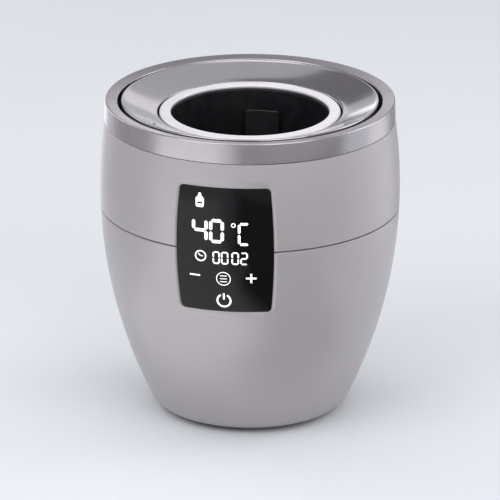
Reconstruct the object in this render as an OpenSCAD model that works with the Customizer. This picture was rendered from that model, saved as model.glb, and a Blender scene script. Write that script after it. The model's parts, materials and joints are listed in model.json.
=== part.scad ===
// Bottle warmer: a cup-shaped table unit with a round heating well in its top.
// Millimetres. +Z is up, the display faces -Y, and the cord entry is at the back, +Y.
// The origin is the centre of the footprint, on the underside of the rubber feet.

/* [Body] */
// Largest outside radius of the body
belly_r = 76.7; // [76:0.1:78]
// Height of the largest radius
belly_z = 118; // [115:1:121]
// Radius of the arc that the whole side follows
side_arc_r = 256; // [250:1:270]
// Overall height
body_h = 165; // [165:0.5:168]
// Wall of the two outer shells
wall = 2.5; // [2:0.1:2.8]
// Height of the joint between the two shells
seam_z = 108.5; // [106:0.5:110]
// Width of the shadow line at that joint
seam_gap = 0.6; // [0.3:0.1:1]
// Rounding under the lower shell
foot_round = 7; // [5:0.5:8]

/* [Top] */
// Height of the metallic trim band
trim_h = 10.7; // [9:0.1:11]
// Radius of the opening inside the trim
trim_in_r = 67.4; // [67.2:0.1:67.8]
// Outer radius of the lift-off dish
dish_r = 65.5; // [65.2:0.1:66]
// Inner radius of the dish
dish_in_r = 47.2; // [46.8:0.1:48]
// Fall of the dish from its lip to its inner edge
dish_drop = 6; // [4:0.1:6.5]

/* [Well] */
// Inner radius of the heating well
well_r = 40.4; // [40:0.1:41]
// Sheet thickness of the well
well_t = 1.4; // [1:0.1:1.6]
// Height of the well's floor, on its upper face
well_floor_z = 58.4; // [56:0.2:60]
// Outer radius of the basket that stands in the well
basket_r = 38; // [36:0.5:38.5]

/* [Display] */
// Half width of the display at its middle
window_half_w = 24.5; // [22:0.5:26]
// Half height of the display
window_half_h = 33; // [30:0.5:34]
// How far its sides pull in at the top and bottom
window_sag = 1.9; // [0.5:0.1:3]
// Corner radius of the display
window_corner = 2.7; // [1:0.1:4]

/* [Cord entry] */
// Radius of the hole for the mains cord
cord_hole_r = 3.3; // [2.5:0.1:3.6]
// Height of that hole
cord_z = 26; // [24:1:30]

/* [Hidden] */

$fn = 96;
cut = 0.05;              // how far a cutter runs past a face
big = 200;               // longer than any part
band_h = 3.5;            // height of the bands that the curved side is drawn with

// Colours
body_grey = [0.66, 0.64, 0.66];
trim_grey = [0.60, 0.58, 0.60];
dish_grey = [0.72, 0.70, 0.72];
ring_white = [0.90, 0.89, 0.91];
black = [0.07, 0.07, 0.08];
dark_plastic = [0.16, 0.16, 0.17];
board_green = [0.12, 0.36, 0.22];
sheet_metal = [0.78, 0.79, 0.80];

// Base
base_z = 2.5;            // underside of the shell and of the base plate
plate_t = 2.5;
plate_r = 43.1;
plate_recess_r = 43.3;
base_lip_r = 39.5;       // the shell's ledge that the plate is screwed to
base_lip_t = 2.5;
plate_top = base_z + plate_t;
base_screw_ring = 37.5;  // radius of the circle that the base screws stand on
base_boss_top = 15;
base_boss_r = 3.5;
plate_counterbore_r = 3;
plate_counterbore_t = 1.4;
foot_ring = 33;
foot_r = 5;
peg_r = 2;

// Self-tapping screws
screw_r = 1.35;
pilot_r = 1.45;
clear_r = 1.6;
head_r = 2.6;
head_h = 1.8;

// Upper shell and its neck
trim_z = body_h - trim_h;
shoulder_z = trim_z - 0.3;
neck_in_r = 69.4;
neck_r = 71.4;
neck_top = body_h - 2.4;
ledge_in_r = 63.5;
ledge_z = 148;
carrier_z = 150.6;
carrier_t = 2.4;
carrier_top = carrier_z + carrier_t;
carrier_screw_ring = 66.4;
carrier_boss_r = 3.2;
tongue_r = 73.8;         // tongue of the lower shell, inside the upper one
tongue_in_r = 72.2;
tongue_top = seam_z + 3.5;
tongue_gap_half_w = 27;  // half width of the gap in the tongue behind the display

// Trim
trim_out_r = 74.2;
trim_top_r = 73.8;
trim_in_wall = 1.8;
trim_fall = 0.9;         // fall of its top face towards the dish

// Dish
dish_t = 1.8;
dish_top = body_h - 0.6;
dish_slope_r = dish_r - 1.4;
skirt_r = 62.1;
skirt_in_r = 60.5;

// Well and what holds it
well_flange_r = 44.7;
flange_top = 156.2;
ring_top = 158.4;
ring_r = 46.2;
gasket_t = 1.6;
well_round = 8;          // outer radius of the well's bottom corner
shield_in_r = 45.9;
shield_t = 1;
shield_low = 56;
arm_top = 146;
basket_wall = 1.5;
basket_floor_z = 60.6;
basket_floor_t = 2;
basket_rim_z = 78;

// Heater stack, which hangs under the well's floor
heater_top = well_floor_z - well_t;
heater_t = 7;
heater_r = 30;
heater_low = heater_top - heater_t;
ptc_size = [20, 14, 2.4];
ptc_x = 13;
clamp_size = [58, 12, 2];
ptc_low = heater_low - ptc_size.z;
clamp_low = ptc_low - clamp_size.z;
heater_screw_x = [-26, 0, 26];
sensor_xy = [18, 18];
sensor_r = 2.4;
thermostat_y = -19;
fuse_y = 15;

// Control board on its standoffs
board_size = [64, 50, 1.6];
board_z = 15;
board_top = board_z + board_size.z;
standoff_xy = [28, 21];
standoff_r = 3;
relay_size = [19, 15, 15];
core_size = [22, 14, 13];
bobbin_size = [16, 19, 10];
pin_base_size = [18, 20, 3];
capacitor_r = 6;
capacitor_h = 18;
film_size = [14, 8, 13];
terminal_size = [16, 8, 12];
buzzer_r = 6;
buzzer_h = 8;

// Display module, in front of and behind its touch board
window_z = seam_z + 0.5;
window_t = 2.2;
window_fit = 0.2;
mask_gap = 0.1;
mask_half_w = 21.5;
mask_half_h = window_half_h - 0.8;
touch_front_y = -66.8;
touch_back_y = -65.2;
touch_half = [20.5, 31.5];
bracket_front_y = -60.5;
bracket_back_y = -58.5;
bracket_half_w = 25;
bracket_low = 69;
bracket_high = 148;
bracket_screw_x = 20;
bracket_screw_z = [73, 144.5];
boss_y = [-68.3, -71.1];  // where each shell's bosses end, inside its wall
bracket_boss_r = 3;
bracket_post_xz = [16, 27]; // the bracket's four posts behind the touch board, from the display's centre
bracket_post_r = 2.5;
led_box = [[-18, 100], [17, 126]];
bottle_icon = [-12.2, 134.9];
touch_icons = [[-14.9, 93.8], [0, 92.5], [14, 92.6], [0, 81]];
spring_r = 3;
spring_wall = 0.6;

// Cord entry at the back
pocket_r = 9.5;
pocket_y = 52;
pocket_wall = 2.5;
gland_r = 5.4;

// Centre lines of the wires
heater_lead_left = [[-6, 20, 28.6], [-6, 20, 33], [-7, 19.5, 38], [-10, 17.5, 43.5], [-12.5, 13, 47.6],
    [-13, 9.5, 48.8], [-13, 7, 48.8]];
heater_lead_right = [[2, 20, 28.6], [2, 20, 33], [4, 20, 37.5], [9, 18.5, 43], [12.5, 13, 47.6],
    [13, 9.5, 48.8], [13, 7, 48.8]];
sensor_lead_line = [[18, 18, 44], [18, 18, 40], [18.3, 19, 34], [19, 21, 28], [20, 21, 22], [20, 21, 16.6]];
ribbon_line = [[-64.8, 90], [-64.8, 84], [-63.5, 77], [-60, 68], [-54, 57], [-46, 43], [-38, 31.5], [-31, 22.5],
    [-27.5, 18.6], [-25, 17], [-22, 17]];

// Radius of the body at a height, a given depth under its outer face
function side_r(z, depth = 0) =
    belly_r - side_arc_r + sqrt(pow(side_arc_r - depth, 2) - pow(z - belly_z, 2));

// Upper face of the dish at a radius
function dish_z(r) =
    dish_top - 0.4 - dish_drop * (1 - pow((r - dish_in_r) / (dish_slope_r - dish_in_r), 1.25));

// Inner face of the window, as a depth along Y, at a place on the display
function window_back_y(x, z) = -sqrt(pow(side_r(z, window_t), 2) - x * x);

// ---- shared shapes ----

// Half section of the body, a given depth under its outer face, as narrow straight bands along the arc
module body_section(depth, low, high) {
    bands = ceil((high - low) / band_h);
    polygon(concat([[0, high], [0, low]],
        [for (i = [0 : bands]) let (z = low + (high - low) * i / bands) [side_r(z, depth), z]]));
}

module body_inside(depth, low, high) {
    rotate_extrude() body_section(depth, low, high);
}

module ring(r_out, r_in, low, high) {
    translate([0, 0, low]) difference() {
        cylinder(r = r_out, h = high - low);
        translate([0, 0, -cut]) cylinder(r = r_in, h = high - low + 2 * cut);
    }
}

// A solid round bar along Y, from one depth to another
module bar_y(r, x, z, from_y, to_y) {
    translate([x, to_y, z]) rotate([90, 0, 0]) cylinder(r = r, h = to_y - from_y);
}

module box_between(a, b) {
    translate(a) cube(b - a);
}

module around(count, ring_radius, first = 0) {
    for (i = [0 : count - 1]) rotate([0, 0, first + i * 360 / count]) translate([ring_radius, 0, 0]) children();
}

// A screw that points up, with its head's upper face at z = 0
module screw_up(length, head = head_r) {
    cylinder(r = screw_r, h = length, $fn = 32);
    translate([0, 0, -head_h]) difference() {
        cylinder(r = head, h = head_h, $fn = 32);
        for (a = [0, 90]) rotate([0, 0, a]) translate([-1.5, -0.35, -cut]) cube([3, 0.7, 0.8]);
    }
}

// Points along an arc, without its first one, so that arcs join end to end
function arc(cx, cy, r, from, to, steps) =
    [for (i = [1 : steps]) let (a = from + (to - from) * i / steps) [cx + r * cos(a), cy + r * sin(a)]];

// Outline of the display, with barrel sides and round corners, seen from the front
module window_outline(half_w, half_h, corner) {
    barrel_r = (pow(half_h, 2) + pow(window_sag, 2)) / (2 * window_sag);
    corner_y = half_h - corner;
    corner_x = half_w - barrel_r + sqrt(pow(barrel_r - corner, 2) - pow(corner_y, 2));
    lean = asin(corner_y / (barrel_r - corner));
    polygon(concat(
        arc(half_w - barrel_r, 0, barrel_r, -lean, lean, 10),
        arc(corner_x, corner_y, corner, lean, 90, 6),
        arc(-corner_x, corner_y, corner, 90, 180 - lean, 6),
        arc(barrel_r - half_w, 0, barrel_r, 180 - lean, 180 + lean, 10),
        arc(-corner_x, -corner_y, corner, 180 + lean, 270, 6),
        arc(corner_x, -corner_y, corner, 270, 360 - lean, 6)));
}

// The same outline as a solid that runs along Y through the front of the body
module window_prism(half_w, half_h, corner) {
    translate([0, touch_back_y, window_z]) rotate([90, 0, 0]) linear_extrude(20)
        window_outline(half_w, half_h, corner);
}

// A smooth line through hand-placed points
function spline_at(a, b, c, d, t) =
    0.5 * ((2 * b) + (c - a) * t + (2 * a - 5 * b + 4 * c - d) * t * t + (3 * b - a - 3 * c + d) * t * t * t);
function smooth_line(p, steps) = concat(
    [for (i = [0 : len(p) - 2]) for (s = [0 : steps - 1])
        spline_at(p[max(i - 1, 0)], p[i], p[i + 1], p[min(i + 2, len(p) - 1)], s / steps)],
    [p[len(p) - 1]]);
function unit(v) = v / norm(v);

// A round wire along a line: one ring of points at each step, joined up and closed at both ends
module wire(line, r, sides = 8) {
    path = smooth_line(line, 3);
    n = len(path);
    along = [for (i = [0 : n - 1]) unit(path[min(i + 1, n - 1)] - path[max(i - 1, 0)])];
    points = [for (i = [0 : n - 1]) let (u = unit(cross([1, 0.2, 0], along[i])), v = cross(along[i], u))
        for (k = [0 : sides - 1]) path[i] + r * (cos(360 * k / sides) * u + sin(360 * k / sides) * v)];
    faces = concat(
        [[for (k = [0 : sides - 1]) k]],
        [for (i = [0 : n - 2]) for (k = [0 : sides - 1]) let (m = (k + 1) % sides)
            [i * sides + k, (i + 1) * sides + k, (i + 1) * sides + m, i * sides + m]],
        [[for (k = [sides - 1 : -1 : 0]) (n - 1) * sides + k]]);
    polyhedron(points, faces, convexity = 6);
}

// ---- outer shells ----

// Half section of the lower shell's outside, with its rounded bottom edge
module lower_section(high) {
    round_x = belly_r - side_arc_r
        + sqrt(pow(side_arc_r - foot_round, 2) - pow(belly_z - base_z - foot_round, 2));
    round_z = base_z + foot_round;
    lean = atan2(belly_z - round_z, round_x - belly_r + side_arc_r);
    meet = [round_x + foot_round * cos(lean), round_z - foot_round * sin(lean)];
    body_section(0, meet.y, high);
    polygon(concat([[0, meet.y], [0, base_z], [round_x, base_z]], arc(round_x, round_z, foot_round, -90, -lean, 10)));
}

module lower_shell() color(body_grey) {
    shell_top = seam_z - seam_gap / 2;
    difference() {
        union() {
            difference() {
                rotate_extrude() lower_section(shell_top);
                body_inside(wall, plate_top + base_lip_t, shell_top + 1);
                translate([0, 0, -cut]) cylinder(r = plate_recess_r, h = plate_top + cut);
                cylinder(r = base_lip_r, h = plate_top + base_lip_t + cut);
            }
            difference() {
                rotate_extrude() polygon([[tongue_in_r, seam_z - 5.5], [tongue_in_r + 2.4, seam_z - 8],
                    [tongue_in_r + 2.4, shell_top], [tongue_r, shell_top], [tongue_r, tongue_top],
                    [tongue_in_r, tongue_top]]);
                box_between([-tongue_gap_half_w, -big, seam_z - 20], [tongue_gap_half_w, -40, seam_z + 20]);
            }
            around(4, base_screw_ring) translate([0, 0, plate_top]) cylinder(r = base_boss_r, h = base_boss_top - plate_top);
            intersection() {
                bar_y(pocket_r + 2, 0, cord_z, pocket_y - pocket_wall, big);
                body_inside(0.5, plate_top, seam_z - 10);
            }
            for (side = [-1, 1]) bar_y(bracket_boss_r, side * bracket_screw_x, bracket_screw_z[0], boss_y[0], bracket_front_y);
        }
        around(4, base_screw_ring) cylinder(r = pilot_r, h = base_boss_top + 1, $fn = 32);
        bar_y(pocket_r, 0, cord_z, pocket_y, big);
        bar_y(gland_r + 0.1, 0, cord_z, pocket_y - pocket_wall - cut, big);
        for (side = [-1, 1])
            bar_y(pilot_r, side * bracket_screw_x, bracket_screw_z[0], -66, bracket_front_y + cut);
        window_prism(window_half_w + window_fit, window_half_h + window_fit, window_corner);
    }
}

module upper_shell() color(body_grey) {
    shell_low = seam_z + seam_gap / 2;
    difference() {
        union() {
            rotate_extrude() {
                difference() {
                    body_section(0, shell_low, shoulder_z);
                    body_section(wall, shell_low - 1, ledge_z);
                    translate([0, ledge_z - cut]) square([ledge_in_r, shoulder_z - ledge_z + 1]);
                    translate([0, carrier_z]) square([neck_in_r, big]);
                }
                translate([neck_in_r, carrier_z]) square([neck_r - neck_in_r, neck_top - carrier_z]);
            }
            difference() {
                rotate_extrude() polygon([[tongue_in_r, tongue_top], [tongue_in_r + 2.6, tongue_top],
                    [tongue_in_r + 2.6, tongue_top + 5], [tongue_in_r, tongue_top + 2]]);
                box_between([-tongue_gap_half_w, -big, seam_z - 20], [tongue_gap_half_w, -40, seam_z + 20]);
            }
            around(4, carrier_screw_ring, 45) translate([0, 0, ledge_z - 10]) cylinder(r = carrier_boss_r, h = 11);
            for (side = [-1, 1]) bar_y(bracket_boss_r, side * bracket_screw_x, bracket_screw_z[1], boss_y[1], bracket_front_y);
        }
        around(4, carrier_screw_ring, 45) translate([0, 0, ledge_z - 8]) cylinder(r = pilot_r, h = 20, $fn = 32);
        for (side = [-1, 1])
            bar_y(pilot_r, side * bracket_screw_x, bracket_screw_z[1], -68, bracket_front_y + cut);
        window_prism(window_half_w + window_fit, window_half_h + window_fit, window_corner);
    }
}

module trim_ring() color(trim_grey) rotate_extrude() polygon([
    [neck_r + 0.3, trim_z], [trim_out_r, trim_z], [trim_top_r, body_h - 0.8], [trim_top_r - 0.8, body_h],
    [trim_in_r + 0.6, body_h - trim_fall], [trim_in_r, body_h - trim_fall - 0.6], [trim_in_r, carrier_top + 3],
    [trim_in_r + trim_in_wall, carrier_top + 3], [trim_in_r + trim_in_wall, neck_top], [neck_r + 0.3, neck_top]]);

// The dish falls in a shallow hollow curve from its lip to the well. A skirt under it stands on the carrier.
module splash_dish() color(dish_grey) {
    slope = [for (i = [0 : 10]) dish_in_r + (dish_slope_r - dish_in_r) * i / 10];
    skirt_low = carrier_top + 0.4;
    slope_back = [for (i = [9 : -1 : 0]) slope[i]];
    rotate_extrude() polygon(concat(
        [for (r = slope) [r, dish_z(r)]],
        [[dish_r - 0.9, dish_top], [dish_r - 0.3, dish_top], [dish_r, dish_top - 0.3], [dish_r, dish_top - 4.4],
         [dish_r - dish_t, dish_top - 4.4], [dish_r - dish_t, dish_z(dish_r - dish_t) - dish_t]],
        [for (r = slope_back) if (r > skirt_r) [r, dish_z(r) - dish_t]],
        [[skirt_r, dish_z(skirt_r) - dish_t], [skirt_r, skirt_low], [skirt_in_r, skirt_low],
         [skirt_in_r, dish_z(skirt_in_r) - dish_t]],
        [for (r = slope_back) if (r < skirt_in_r) [r, dish_z(r) - dish_t]]));
}

module well_ring() color(ring_white) rotate_extrude() polygon([
    [well_r, flange_top], [well_flange_r + 0.2, flange_top], [well_flange_r + 0.2, carrier_top + 0.3],
    [ring_r, carrier_top + 0.3], [ring_r, ring_top - 0.8], [ring_r - 0.8, ring_top], [well_r + 0.6, ring_top],
    [well_r, ring_top - 0.6]]);

// ---- base ----

module base_plate() color(dark_plastic) difference() {
    union() {
        translate([0, 0, base_z]) cylinder(r = plate_r, h = plate_t);
        for (sx = [-1, 1], sy = [-1, 1]) translate([sx * standoff_xy.x, sy * standoff_xy.y, plate_top - 1])
            cylinder(r = standoff_r, h = board_z - plate_top + 1);
    }
    around(4, base_screw_ring) {
        cylinder(r = clear_r, h = plate_top + 1, $fn = 32);
        cylinder(r = plate_counterbore_r, h = base_z + plate_counterbore_t);
    }
    around(4, foot_ring, 45) cylinder(r = peg_r + 0.1, h = plate_top + 1);
    for (sx = [-1, 1], sy = [-1, 1]) translate([sx * standoff_xy.x, sy * standoff_xy.y, board_z - 8])
        cylinder(r = pilot_r, h = 9, $fn = 32);
    for (x = [-16 : 8 : 16]) translate([x - 1, -12, 0]) cube([2, 24, plate_top + 1]);
}

module rubber_feet() color(dark_plastic) around(4, foot_ring, 45) {
    rotate_extrude() polygon([[0, 0], [foot_r - 0.8, 0], [foot_r, 0.8], [foot_r, base_z], [peg_r, base_z],
        [peg_r, base_z + 1.8], [0, base_z + 1.8]]);
}

module base_screws() color(sheet_metal) around(4, base_screw_ring) translate([0, 0, base_z + plate_counterbore_t]) {
    cylinder(r = screw_r, h = 9, $fn = 32);
    translate([0, 0, -1.3]) difference() {
        cylinder(r = 2.7, h = 1.3, $fn = 32);
        for (a = [0, 90]) rotate([0, 0, a]) translate([-1.5, -0.35, -cut]) cube([3, 0.7, 0.7]);
    }
}

// ---- display ----

module display_window() color(black) intersection() {
    window_prism(window_half_w, window_half_h, window_corner);
    difference() {
        body_inside(0, seam_z - 40, seam_z + 40);
        body_inside(window_t, seam_z - 41, seam_z + 41);
    }
}

module light_mask() color(black) difference() {
    intersection() {
        translate([0, touch_front_y, window_z]) rotate([90, 0, 0]) linear_extrude(20)
            window_outline(mask_half_w, mask_half_h, window_corner);
        body_inside(window_t + mask_gap, seam_z - 40, seam_z + 40);
    }
    box_between([led_box[0].x - 0.2, -big, led_box[0].y - 0.2], [led_box[1].x + 0.2, 0, led_box[1].y + 0.2]);
    bar_y(4.6, bottle_icon.x, bottle_icon.y, -big, 0);
    for (p = touch_icons) bar_y(spring_r + 0.3, p.x, p.y, -big, 0);
}

module led_module() color([0.9, 0.9, 0.88])
    box_between([led_box[0].x, touch_front_y - 3.6, led_box[0].y], [led_box[1].x, touch_front_y, led_box[1].y]);

module indicator_leds() color([0.95, 0.94, 0.8]) for (p = concat([bottle_icon], touch_icons))
    box_between([p.x - 1, touch_front_y - 0.8, p.y - 1], [p.x + 1, touch_front_y, p.y + 1]);

module touch_springs() color(sheet_metal) for (p = touch_icons) difference() {
    front_y = window_back_y(abs(p.x) + spring_r, p.y - spring_r) + 0.1;
    bar_y(spring_r, p.x, p.y, front_y, touch_front_y);
    bar_y(spring_r - spring_wall, p.x, p.y, front_y - 1, touch_front_y + 1);
}

module touch_board() color(board_green) box_between([-touch_half.x, touch_front_y, window_z - touch_half.y],
    [touch_half.x, touch_back_y, window_z + touch_half.y]);

module display_bracket() color(dark_plastic) difference() {
    union() {
        box_between([-bracket_half_w, bracket_front_y, bracket_low], [bracket_half_w, bracket_back_y, bracket_high]);
        for (x = [-1, 1] * bracket_post_xz[0], dz = [-1, 1] * bracket_post_xz[1])
            bar_y(bracket_post_r, x, window_z + dz, touch_back_y, bracket_back_y);
    }
    for (side = [-1, 1], z = bracket_screw_z)
        bar_y(clear_r, side * bracket_screw_x, z, -big, bracket_back_y + 1);
    box_between([-10, -big, 0], [10, big, window_z - 25]);
    box_between([-12, -big, window_z - 14], [12, big, window_z + 24]);
}

module bracket_screws() color(sheet_metal) for (side = [-1, 1], z = bracket_screw_z) {
    bar_y(screw_r, side * bracket_screw_x, z, bracket_front_y - 5, bracket_back_y);
    bar_y(head_r, side * bracket_screw_x, z, bracket_back_y, bracket_back_y + head_h);
}

// The flat cable is a thin band that follows its line, 14 mm wide
module display_ribbon() color([0.85, 0.85, 0.82]) {
    line = smooth_line(ribbon_line, 3);
    n = len(line);
    side = [for (i = [0 : n - 1]) let (d = unit(line[min(i + 1, n - 1)] - line[max(i - 1, 0)])) 0.2 * [-d.y, d.x]];
    translate([-7, 0, 0]) rotate([90, 0, 90]) linear_extrude(14) polygon(concat(
        [for (i = [0 : n - 1]) line[i] + side[i]], [for (i = [n - 1 : -1 : 0]) line[i] - side[i]]));
}

// ---- well ----

// Half section of a round-bottomed cup
module cup_section(r, low, high, corner) {
    translate([0, low + corner]) square([r, high - low - corner]);
    translate([0, low]) square([r - corner, corner + cut]);
    translate([r - corner, low + corner]) circle(r = corner, $fn = 72);
}

module heating_well() color(black) rotate_extrude() difference() {
    union() {
        cup_section(well_r + well_t, heater_top, flange_top, well_round);
        translate([0, flange_top - well_t]) square([well_flange_r, well_t]);
    }
    cup_section(well_r, well_floor_z, flange_top + 1, well_round - well_t);
}

module well_gasket() color([0.75, 0.75, 0.75])
    ring(well_flange_r - 0.1, well_r + well_t + 0.3, flange_top - well_t - gasket_t, flange_top - well_t);

module well_carrier() color(dark_plastic) difference() {
    rotate_extrude() polygon([[well_r + well_t + 0.3, carrier_z], [neck_in_r - 0.2, carrier_z],
        [neck_in_r - 0.2, carrier_top], [well_flange_r, carrier_top],
        [well_flange_r, flange_top - well_t - gasket_t], [well_r + well_t + 0.3, flange_top - well_t - gasket_t]]);
    around(4, carrier_screw_ring, 45) translate([0, 0, ledge_z]) cylinder(r = clear_r, h = 10, $fn = 32);
}

module carrier_screws() color(sheet_metal)
    around(4, carrier_screw_ring, 45) translate([0, 0, carrier_top]) mirror([0, 0, 1]) screw_up(10, 2.5);

module jar_basket() color(black) {
    floor_top = basket_floor_z + basket_floor_t;
    difference() {
        union() {
            translate([0, 0, basket_floor_z]) cylinder(r = basket_r, h = basket_floor_t);
            ring(basket_r, basket_r - basket_wall, basket_floor_z, basket_rim_z);
            ring(33, 30, well_floor_z + 0.4, basket_floor_z + 0.5);
            intersection() {
                ring(basket_r, basket_r - 1.1, basket_rim_z - 2, arm_top);
                box_between([-9, -big, basket_rim_z - 2], [9, big, arm_top]);
            }
            intersection() {
                union() for (z = [arm_top - 6, arm_top - 10]) ring(basket_r + 0.8, basket_r - 0.6, z, z + 1.5);
                box_between([-7, -big, 0], [7, big, arm_top]);
            }
        }
        around(8, 8) translate([0, -1.6, 0]) cube([18, 3.2, floor_top + 1]);
        around(8, basket_r - 3, 22.5) translate([0, -2, floor_top + 4]) cube([6, 4, 8]);
    }
}

module heat_shield() color(sheet_metal) ring(shield_in_r + shield_t, shield_in_r, shield_low, carrier_z);

// ---- heater ----

module heater_plate() color(sheet_metal) difference() {
    translate([0, 0, heater_low]) cylinder(r = heater_r, h = heater_t);
    for (x = heater_screw_x) translate([x, 0, heater_low - cut]) cylinder(r = pilot_r, h = 5, $fn = 32);
    translate([sensor_xy.x, sensor_xy.y, heater_low - cut]) cylinder(r = sensor_r + 0.2, h = big, $fn = 32);
}

module ptc_heaters() color([0.82, 0.80, 0.74]) for (side = [-1, 1])
    translate([side * ptc_x - ptc_size.x / 2, -ptc_size.y / 2, ptc_low]) cube(ptc_size);

module heater_clamp() color(sheet_metal) difference() {
    translate([-clamp_size.x / 2, -clamp_size.y / 2, clamp_low]) cube(clamp_size);
    for (x = heater_screw_x) translate([x, 0, clamp_low - cut]) cylinder(r = clear_r, h = 5, $fn = 32);
}

module heater_screws() color(sheet_metal)
    for (x = heater_screw_x) translate([x, 0, clamp_low]) screw_up(8);

module thermal_fuse() color([0.8, 0.72, 0.5]) translate([0, fuse_y, heater_low - 2.1]) rotate([0, 90, 0]) {
    cylinder(r = 2, h = 12, center = true, $fn = 32);
    cylinder(r = 0.5, h = 20, center = true, $fn = 32);
}

module cutout_thermostat() color(dark_plastic) translate([0, thermostat_y, heater_low]) {
    translate([0, 0, -7]) cylinder(r = 8, h = 7);
    for (side = [-1, 1]) translate([side * 4 - 0.4, -3, -15]) cube([0.8, 6, 9]);
}

module temperature_sensor() color(sheet_metal) translate([sensor_xy.x, sensor_xy.y, heater_low - 6])
    cylinder(r = sensor_r, h = 12.4, $fn = 32);

module sensor_bush() color([0.8, 0.3, 0.2]) translate([sensor_xy.x, sensor_xy.y, 0])
    ring(4.2, sensor_r + 0.1, heater_low - 4, heater_low);

// ---- electronics ----

module control_board() color(board_green) difference() {
    translate([-board_size.x / 2, -board_size.y / 2, board_z]) cube(board_size);
    for (sx = [-1, 1], sy = [-1, 1]) translate([sx * standoff_xy.x, sy * standoff_xy.y, board_z - cut])
        cylinder(r = clear_r, h = 5, $fn = 32);
}

module board_screws() color(sheet_metal) for (sx = [-1, 1], sy = [-1, 1])
    translate([sx * standoff_xy.x, sy * standoff_xy.y, board_top]) mirror([0, 0, 1]) screw_up(7);

module relay() color([0.15, 0.3, 0.6]) translate([8.5, 0.5, board_top]) cube(relay_size);

module transformer() color([0.25, 0.23, 0.2]) translate([-18, 2, board_top]) {
    translate([-pin_base_size.x / 2, -pin_base_size.y / 2, 0]) cube(pin_base_size);
    translate([-core_size.x / 2, -core_size.y / 2, pin_base_size.z]) cube(core_size);
    color([0.85, 0.7, 0.2]) translate([-bobbin_size.x / 2, -bobbin_size.y / 2, pin_base_size.z + 1.5]) cube(bobbin_size);
}

module capacitor() color([0.15, 0.15, 0.3]) translate([8, -13, board_top]) cylinder(r = capacitor_r, h = capacitor_h);

module film_capacitor() color([0.8, 0.65, 0.15]) translate([16, -16, board_top]) cube(film_size);

module terminal_block() color([0.2, 0.5, 0.3]) translate([-10, 16, board_top]) difference() {
    cube(terminal_size);
    for (x = [4, 12]) translate([x, terminal_size.y - 4, 4]) rotate([-90, 0, 0]) cylinder(r = 1.5, h = 5, $fn = 32);
}

module buzzer() color(black) translate([-12, -15, board_top]) difference() {
    cylinder(r = buzzer_r, h = buzzer_h);
    translate([0, 0, buzzer_h - 1]) cylinder(r = 1, h = 2, $fn = 32);
}

module heater_leads() color([0.85, 0.85, 0.85]) {
    wire(heater_lead_left, 1);
    wire(heater_lead_right, 1);
}

module sensor_lead() color([0.2, 0.2, 0.2]) wire(sensor_lead_line, 1);

// ---- cord entry ----

module cord_gland() color(black) difference() {
    union() {
        bar_y(7, 0, cord_z, pocket_y - pocket_wall - 2, pocket_y - pocket_wall);
        bar_y(gland_r, 0, cord_z, pocket_y - pocket_wall - 1, pocket_y + 1);
        bar_y(8, 0, cord_z, pocket_y, pocket_y + 2.5);
        bar_y(5.2, 0, cord_z, pocket_y + 2, pocket_y + 5);
    }
    bar_y(cord_hole_r, 0, cord_z, pocket_y - 10, pocket_y + 10);
}

lower_shell();
upper_shell();
trim_ring();
splash_dish();
well_ring();
base_plate();
rubber_feet();
base_screws();
display_window();
light_mask();
led_module();
indicator_leds();
touch_springs();
touch_board();
display_bracket();
bracket_screws();
display_ribbon();
heating_well();
well_gasket();
well_carrier();
carrier_screws();
jar_basket();
heat_shield();
heater_plate();
ptc_heaters();
heater_clamp();
heater_screws();
thermal_fuse();
cutout_thermostat();
temperature_sensor();
sensor_bush();
control_board();
board_screws();
relay();
transformer();
capacitor();
film_capacitor();
terminal_block();
buzzer();
heater_leads();
sensor_lead();
cord_gland();
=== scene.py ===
"""Bottle warmer: a table unit with a heating well, a lift-off dish and a basket, built round its frame."""

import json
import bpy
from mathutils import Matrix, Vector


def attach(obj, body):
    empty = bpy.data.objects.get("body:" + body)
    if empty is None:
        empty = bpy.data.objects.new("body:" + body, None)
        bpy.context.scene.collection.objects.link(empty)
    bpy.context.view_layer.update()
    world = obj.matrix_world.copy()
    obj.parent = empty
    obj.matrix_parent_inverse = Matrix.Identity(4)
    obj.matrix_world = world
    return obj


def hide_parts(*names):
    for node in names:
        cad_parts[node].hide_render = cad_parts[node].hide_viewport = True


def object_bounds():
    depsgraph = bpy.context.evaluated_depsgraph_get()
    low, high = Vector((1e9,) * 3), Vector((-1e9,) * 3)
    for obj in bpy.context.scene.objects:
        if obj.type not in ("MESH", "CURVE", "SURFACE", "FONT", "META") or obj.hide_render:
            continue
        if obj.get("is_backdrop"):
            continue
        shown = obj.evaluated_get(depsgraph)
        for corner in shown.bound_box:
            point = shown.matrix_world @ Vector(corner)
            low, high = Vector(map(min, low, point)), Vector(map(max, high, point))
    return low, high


bl_info = {
    "name": "Bottle Warmer",
    "version": (1, 0, 0),
    "blender": (4, 5, 0),
    "location": "View3D > Sidebar > Bottle Warmer",
    "description": "Builds a bottle warmer with its display, lift-off dish, well and basket",
    "category": "Object",
}

from collections import namedtuple
from math import asin, atan2, cos, degrees, hypot, pi, radians, sin, sqrt, tan
from types import SimpleNamespace

import bmesh
import bpy
from bpy.props import FloatProperty, FloatVectorProperty, PointerProperty
from mathutils import Matrix, Vector

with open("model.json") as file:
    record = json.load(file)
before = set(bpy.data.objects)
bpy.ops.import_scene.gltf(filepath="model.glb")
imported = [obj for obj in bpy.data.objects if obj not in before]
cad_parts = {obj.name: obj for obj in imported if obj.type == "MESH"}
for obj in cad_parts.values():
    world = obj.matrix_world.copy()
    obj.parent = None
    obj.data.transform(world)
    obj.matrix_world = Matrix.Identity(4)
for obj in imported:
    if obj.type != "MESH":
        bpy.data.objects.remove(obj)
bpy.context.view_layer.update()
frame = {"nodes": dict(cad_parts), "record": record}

# Shapes are drawn in millimetres and become metres when a piece is finished.
MM = 0.001
ROUND = 240             # columns round a large turned piece
SMALL_ROUND = 96        # columns round a small one
MERGE = 1e-4            # points closer than this are one point
HOUSING, DISH, BASKET = "housing", "dish", "basket"


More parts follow.
